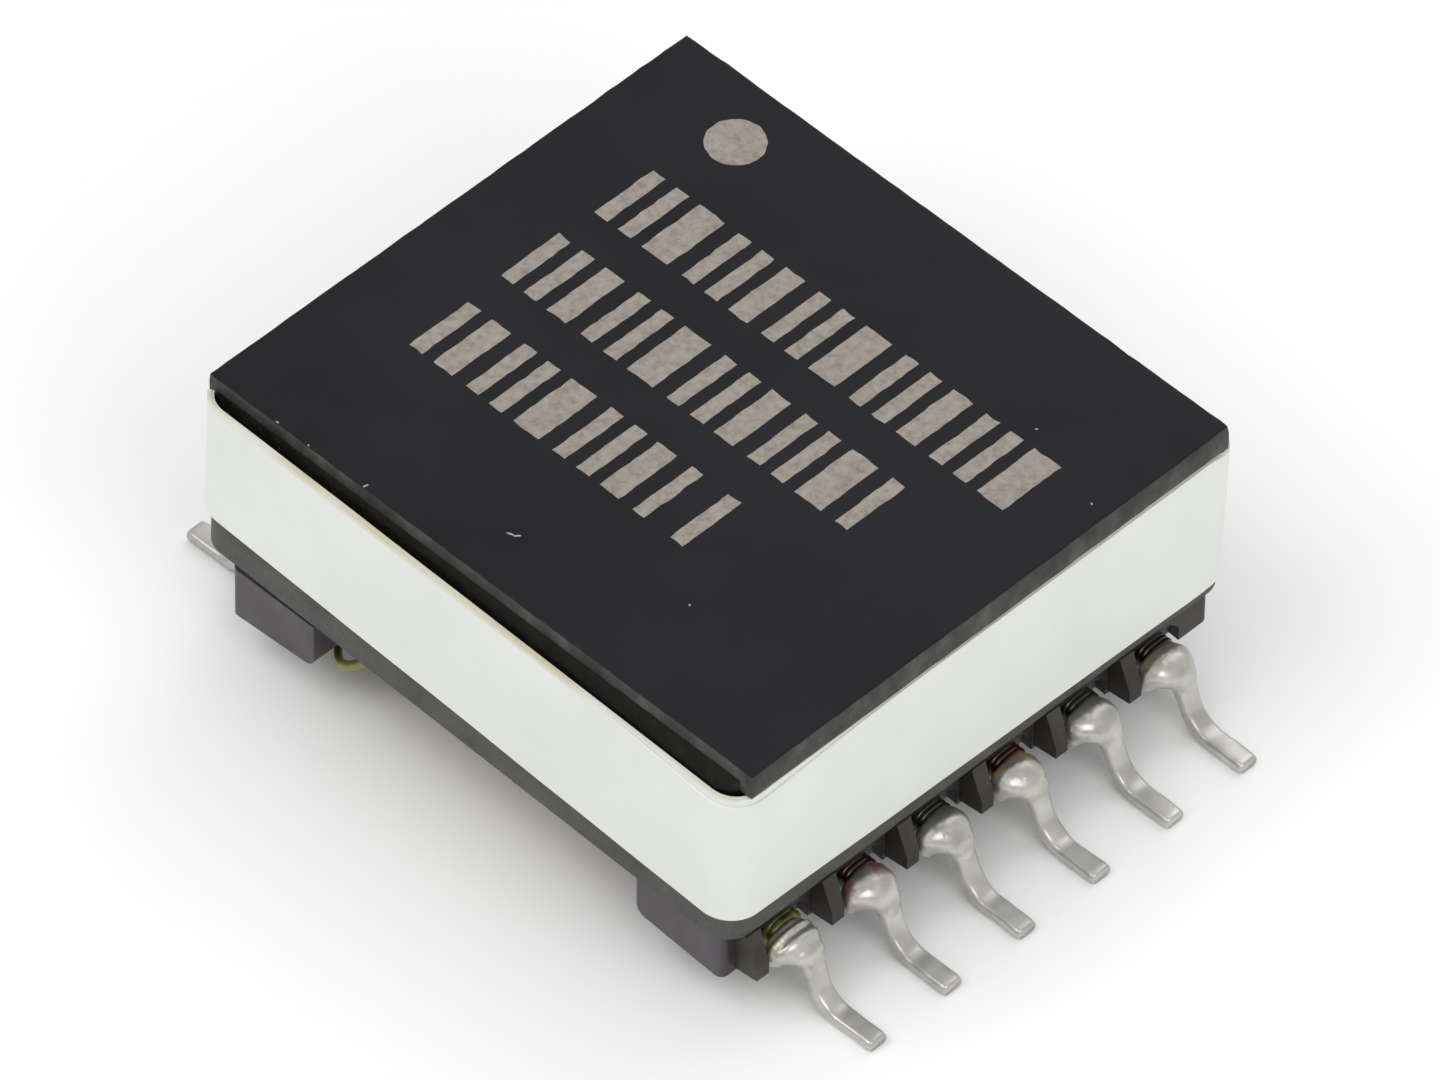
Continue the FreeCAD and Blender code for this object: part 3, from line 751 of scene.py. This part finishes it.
builtSpec = {  # finish and softened edge, by the start of the node's name
    "core_half": (ferrite, 0.05),
    "bobbin": (bobbinResin, 0.06),
    "winding": (windingWire, 0.0),
    "layer_tape": (layerFilm, 0.0),
    "coil_outer_wrap": (layerFilm, 0.02),
}

for name in nodes:
    for start, (finish, edge) in builtSpec.items():
        if name.startswith(start):
            dressNode(name, finish, edge)
print("core, bobbin and coil dressed")


# terminals, wires and solder

leadSpec = {
    "rowCount": 6, "pitch": 2.5,
    "width": 0.6, "thick": 0.32,
    "exitHeight": 1.62,
    "railFace": 8.2,
    "knee": 0.95, "spread": 0.6,     # from the rail to the knee, from the knee to the ankle
    "kneeRound": 0.46, "ankleRound": 0.95,
    "bendSteps": 12, "step": 0.07,
    "corner": 0.12, "cornerSteps": 5,
    "lump": 0.035, "lumpPatch": 0.7, "seedStep": 1.7,
    "endRound": (0.015, 0.04),       # the last two sections are this much smaller
}
numbers = range(1, 2 * leadSpec["rowCount"] + 1)
rowSide = {number: -1 if number <= leadSpec["rowCount"] else 1 for number in numbers}
wireTone = {1: "olive", 2: "red", 3: "brown", 4: "red", 5: "green", 6: "olive",
            7: "olive", 8: "red", 9: "green", 10: "red", 11: "green", 12: "brown"}
fluxTone = {1: "olive", 2: "red", 3: "dark", 4: "red", 5: "dark", 6: "amber",
            7: "olive", 8: "red", 9: "dark", 10: "amber", 11: "dark", 12: "amber"}


def leadPath(step):
    # middle line of a terminal in its own XZ plane, from inside the rail to the tip of the foot
    low, high = boxOf("terminal_12")
    footHeight = leadSpec["thick"] / 2
    knee = leadSpec["railFace"] + leadSpec["knee"]
    corners = [Vector((low.x, leadSpec["exitHeight"])), Vector((knee, leadSpec["exitHeight"])),
               Vector((knee + leadSpec["spread"], footHeight)), Vector((high.x, footHeight))]
    path = [corners[0]]
    for index, radius in ((1, leadSpec["kneeRound"]), (2, leadSpec["ankleRound"])):
        back = (corners[index - 1] - corners[index]).normalized()
        ahead = (corners[index + 1] - corners[index]).normalized()
        half = back.angle(ahead) / 2
        reach = radius / math.tan(half)
        hub = corners[index] + (back + ahead).normalized() * radius / math.sin(half)
        a, b = corners[index] + back * reach - hub, corners[index] + ahead * reach - hub
        turn = a.angle_signed(b)
        for i in range(leadSpec["bendSteps"] + 1):
            angle = -turn * i / leadSpec["bendSteps"]
            path.append(hub + Vector((a.x * math.cos(angle) - a.y * math.sin(angle),
                                      a.x * math.sin(angle) + a.y * math.cos(angle))))
    path.append(corners[3])
    fine = [path[0]]
    for a, b in zip(path, path[1:]):
        steps = max(1, int((b - a).length / step))
        fine += [a.lerp(b, (i + 1) / steps) for i in range(steps)]
    return fine


def headings(path):
    result = []
    for index in range(len(path)):
        a = path[max(0, index - 1)]
        b = path[min(len(path) - 1, index + 1)]
        result.append((b - a).normalized())
    return result


def leadMiddle(number):
    low, high = boxOf("terminal_%02d" % number)
    return (low.y + high.y) / 2


def turned(points, number):
    # from a place in the +X row to the terminal's own place
    side, y = rowSide[number], leadMiddle(number)
    return [(side * px, side * py + y, pz) for px, py, pz in points]


def leadRing(centre, heading, width, thick, seed):
    # rounded section square to the heading, roughened a little and never below the board
    side = Vector((-heading.y, heading.x))
    corner, cornerSteps = leadSpec["corner"], leadSpec["cornerSteps"]
    ring = []
    for index, (a, b) in enumerate([(1, 1), (-1, 1), (-1, -1), (1, -1)]):
        for i in range(cornerSteps + 1):
            angle = math.radians(90 * index + 90 * i / cornerSteps)
            across = a * (width / 2 - corner) + corner * math.cos(angle)
            up = b * (thick / 2 - corner) + corner * math.sin(angle)
            swell = leadSpec["lump"] * waver(centre.x + side.x * up, across, centre.y + side.y * up,
                                             leadSpec["lumpPatch"], seed)
            grow = 1 + swell / max(width, thick) * 2
            ring.append((centre.x + side.x * up * grow, across * grow, max(centre.y + side.y * up * grow, 0.0)))
    return ring


def makeLead(number):
    path = leadPath(leadSpec["step"])
    less = dict(zip((len(path) - 2, len(path) - 1), leadSpec["endRound"]))
    rings = []
    for index, (spot, heading) in enumerate(zip(path, headings(path))):
        rings.append(leadRing(spot, heading, leadSpec["width"] - less.get(index, 0),
                              leadSpec["thick"] - less.get(index, 0), number * leadSpec["seedStep"]))
    points, faces = joinRings(rings)
    widest = boxOf("terminal_12")[1].x
    points = [(min(px, widest), py, pz) for px, py, pz in points]
    addPiece("lead%02d" % number, turned(points, number), faces, [tinnedLead],
             ["terminal_%02d" % number])


solderSpec = {
    "start": 0.28, "end": 1.8,       # reach from the rail's face along the lead
    "step": 0.045, "slack": 0.03,    # the first section may lie this far before the start
    "wide": 1.42, "wideVary": (0.14, 1.3, 2),      # greatest width, how far it varies, patch and seed
    "tall": 0.96,
    "fall": (0.18, 0.5),             # start and length of the taper, in shares of the way
    "mouth": (0.2, 0.3, 0.7),        # share of the way over which it swells, by how much, and from what
    "skin": (0.035, 0.075, 0.6),     # over the lead, sinking by this much from this share of the way on
    "lean": 0.2,
    "roundSteps": 28,
    "power": (2.6, 3.6), "powerFall": 0.3,         # squareness of the section, fat and thin
    "lump": 0.06, "lumpLeast": 0.3,
    "lumpPatches": (0.5, 0.22), "fineShare": 0.4,
    "seed": (11.0, 2.3),             # first, and step for each number
    "ridged": (1, 7),                # the thick wire's turns show through these
    "ridgePitch": 0.24, "ridge": 0.035,
}


def makeSolder(number):
    begin = leadSpec["railFace"] + solderSpec["start"] - solderSpec["slack"]
    path = [spot for spot in leadPath(solderSpec["step"]) if spot.x > begin]
    leadWidth, leadThick = leadSpec["width"], leadSpec["thick"]
    varied, varyPatch, varySeed = solderSpec["wideVary"]
    wide = solderSpec["wide"] + varied * waver(number, 0, 0, varyPatch, varySeed)
    fallStart, fallLength = solderSpec["fall"]
    mouthRun, mouthSwell, mouthLeast = solderSpec["mouth"]
    skinOver, skinSink, skinStart = solderSpec["skin"]
    coarse, fine = solderSpec["lumpPatches"]
    seed = solderSpec["seed"][0] + solderSpec["seed"][1] * number
    steps = solderSpec["roundSteps"]
    travelled = 0.0
    previous = path[0]
    rings = []
    for spot, heading in zip(path, headings(path)):
        travelled += (spot - previous).length
        previous = spot
        t = travelled / (solderSpec["end"] - solderSpec["start"])
        if t > 1:
            break
        # wide over the wire turns, then drawn down on to the lead
        fall = 0.5 + 0.5 * math.cos(math.pi * clamp((t - fallStart) / fallLength))
        size = fall * (math.sqrt(max(0.0, 1 - (1 - min(1, t / mouthRun)) ** 2)) * mouthSwell + mouthLeast)
        skin = skinOver - skinSink * clamp((t - skinStart) / (1 - skinStart))
        width = leadWidth + skin + (wide - leadWidth) * size
        tall = leadThick + skin + (solderSpec["tall"] - leadThick) * size
        if number in solderSpec["ridged"]:
            ridge = solderSpec["ridge"] * math.cos(2 * math.pi * travelled / solderSpec["ridgePitch"]) * fall
            width += ridge
            tall += 2 * ridge
        shift = -solderSpec["lean"] * fall
        square = 2 / solderSpec["power"][0 if fall > solderSpec["powerFall"] else 1]
        side = Vector((-heading.y, heading.x))
        ring = []
        for i in range(steps):
            angle = 2 * math.pi * i / steps
            c, s = math.cos(angle), math.sin(angle)
            across = math.copysign(abs(c) ** square, c) * width / 2
            up = math.copysign(abs(s) ** square, s) * tall / 2
            px, pz = spot.x + side.x * up, spot.y + side.y * up
            swell = 1 + solderSpec["lump"] * (solderSpec["lumpLeast"] + fall) * (
                waver(px, across, pz, coarse, seed) + solderSpec["fineShare"] * waver(px, across, pz, fine, seed))
            ring.append((spot.x + side.x * up * swell, shift + across * swell, spot.y + side.y * up * swell))
        rings.append(ring)
    points, faces = joinRings(rings)
    addPiece("solder%02d" % number, turned(points, number), faces, [solderBy[fluxTone[number]]],
             ["solder_joint_%02d" % number])


wireSpec = {
    "thick": (0.26, 2.5), "fine": (0.2, 3.0),      # diameter, and turns round the terminal
    "lastThick": 7,                  # the numbers up to this one have the thick wire
    "turnFit": 0.012,
    "grooveGap": 0.1,                # from the terminal's side to the wire in its groove
    "leave": (1.7, 0.75),            # first wire out of the coil, from the middle, and the next ones
    "coilRun": [(5.55, 2.0), (5.85, 1.98)],        # reach and height
    "grooveRun": [(6.3, 0.12, 1.62), (6.7, 0.0, 1.58), (7.6, 0.0, 1.58)],   # reach, share still to cross, height
    "wrap": (8.02, 8.43),            # reach of the first turn and the last
    "wrapPower": 0.6,                # squareness of the turns
    "roundSteps": 14,
    "looseNumber": 6,                # this one bows out under the core before it enters the rail
    "looseRun": [(3.2, 4.6, 2.2), (3.5, 5.8, 2.35), (3.8, 6.7, 2.2), (4.2, 7.2, 1.9), (4.65, 7.45, 1.55),
                 (5.1, 7.62, 1.22), (5.5, 7.5, 1.12), (5.9, 7.0, 1.15), (6.15, 6.5, 1.3)],
}


def wireRoute(number, half, turns):
    # from the coil, under the rail, and in close turns round the terminal's root
    low, high = boxOf("lead_wire_%02d" % number)
    side = rowSide[number]
    inner = abs(low.x if side > 0 else high.x)
    rowY, middle = side * leadMiddle(number), side * bobbinMiddle
    groove = rowY - (leadSpec["width"] / 2 + wireSpec["grooveGap"] + half)
    rank = round(abs(rowY - middle) / leadSpec["pitch"] - 0.5)
    leave = groove
    if rank > 0:
        first, apart = wireSpec["leave"]
        leave = math.copysign(first + apart * rank, rowY - middle) + middle
    if number == wireSpec["looseNumber"]:
        points = list(wireSpec["looseRun"])
    else:
        points = [(inner, leave, wireSpec["coilRun"][0][1])]
        points += [(reach, leave, height) for reach, height in wireSpec["coilRun"]]
    points += [(reach, groove + share * (leave - groove), height) for reach, share, height in wireSpec["grooveRun"]]
    a = leadSpec["width"] / 2 + half + wireSpec["turnFit"]
    b = leadSpec["thick"] / 2 + half + wireSpec["turnFit"]
    x0, x1 = wireSpec["wrap"]
    steps = int(turns * wireSpec["roundSteps"])
    for i in range(steps + 1):
        angle = math.pi + 2 * math.pi * turns * i / steps
        c, s = math.cos(angle), math.sin(angle)
        across = math.copysign(abs(c) ** wireSpec["wrapPower"], c) * a
        up = math.copysign(abs(s) ** wireSpec["wrapPower"], s) * b
        points.append((x0 + (x1 - x0) * i / steps, rowY + across, leadSpec["exitHeight"] + up))
    return [(side * px, side * py, pz) for px, py, pz in points]


def makeWire(number):
    thick = number <= wireSpec["lastThick"]
    bore, turns = wireSpec["thick" if thick else "fine"]
    points = wireRoute(number, bore / 2, turns)
    curve = bpy.data.curves.new("windingEnd%02d" % number, "CURVE")
    curve.dimensions = "3D"
    curve.resolution_u = 4
    curve.bevel_depth = bore / 2 * mm
    curve.bevel_resolution = 3
    curve.use_fill_caps = True
    spline = curve.splines.new("NURBS")
    spline.points.add(len(points) - 1)
    for spot, (px, py, pz) in zip(spline.points, points):
        spot.co = (px * mm, py * mm, pz * mm, 1)
    spline.order_u = 3
    spline.use_endpoint_u = True
    piece = bpy.data.objects.new("windingEnd%02d" % number, curve)
    bpy.context.scene.collection.objects.link(piece)
    curve.materials.append(wireBy[wireTone[number]])
    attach(piece, "root")
    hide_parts("lead_wire_%02d" % number)


for number in numbers:
    makeLead(number)
    makeSolder(number)
    makeWire(number)
print("terminals, wires and solder made")


# floor, lights and camera

stageSpec = {
    "floor": 0.9,          # half its size, in metres
    "tone": tint(252, 252, 252),
    "world": 0.62,
}


def makeStage():
    size = stageSpec["floor"]
    mesh = bpy.data.meshes.new("floor")
    mesh.from_pydata([(-size, -size, 0), (size, -size, 0), (size, size, 0), (-size, size, 0)], [], [(0, 1, 2, 3)])
    floor = bpy.data.objects.new("floor", mesh)
    bpy.context.scene.collection.objects.link(floor)
    finish, _, shader, _ = newFinish("paleFloor", rough=0.85, specular=0.2)
    shader.inputs["Base Color"].default_value = (*stageSpec["tone"], 1)
    mesh.materials.append(finish)
    world = bpy.data.worlds.new("studio")
    bpy.context.scene.world = world
    world.use_nodes = True
    backing = world.node_tree.nodes["Background"]
    backing.inputs["Color"].default_value = (1, 1, 1, 1)
    backing.inputs["Strength"].default_value = stageSpec["world"]


lightSpec = {
    "boxes": [             # place in mm, width in mm, watts
        ((-60, -140, 220), 160, 0.2),
        ((170, -40, 160), 140, 0.13),
        ((-40, 160, 200), 160, 0.1),
    ],
    "aimHeight": 4,
}


def makeLights():
    for number, (place, width, power) in enumerate(lightSpec["boxes"]):
        lamp = bpy.data.lights.new("softBox%d" % number, "AREA")
        lamp.size = width * mm
        lamp.energy = power
        box = bpy.data.objects.new("softBox%d" % number, lamp)
        box.location = Vector(place) * mm
        aim = Vector((0, 0, lightSpec["aimHeight"] * mm)) - box.location
        box.rotation_euler = aim.to_track_quat("-Z", "Y").to_euler()
        bpy.context.scene.collection.objects.link(box)


cameraSpec = {
    "place": (223.576, -230.803, 350.774),     # mm
    "turn": (42.7981, -0.702, 44.8685),        # degrees
    "lens": 500.0, "sensor": 36,
    "clip": (0.01, 5),                         # metres
}


def makeCamera():
    view = bpy.data.cameras.new("photoView")
    view.lens = cameraSpec["lens"]
    view.sensor_width = cameraSpec["sensor"]
    view.clip_start, view.clip_end = cameraSpec["clip"]
    camera = bpy.data.objects.new("photoView", view)
    camera.location = Vector(cameraSpec["place"]) * mm
    camera.rotation_euler = [math.radians(a) for a in cameraSpec["turn"]]
    bpy.context.scene.collection.objects.link(camera)
    bpy.context.scene.camera = camera


makeStage()
makeLights()
makeCamera()
bpy.context.scene.view_settings.view_transform = "Standard"
bpy.context.view_layer.update()
print("stage set")
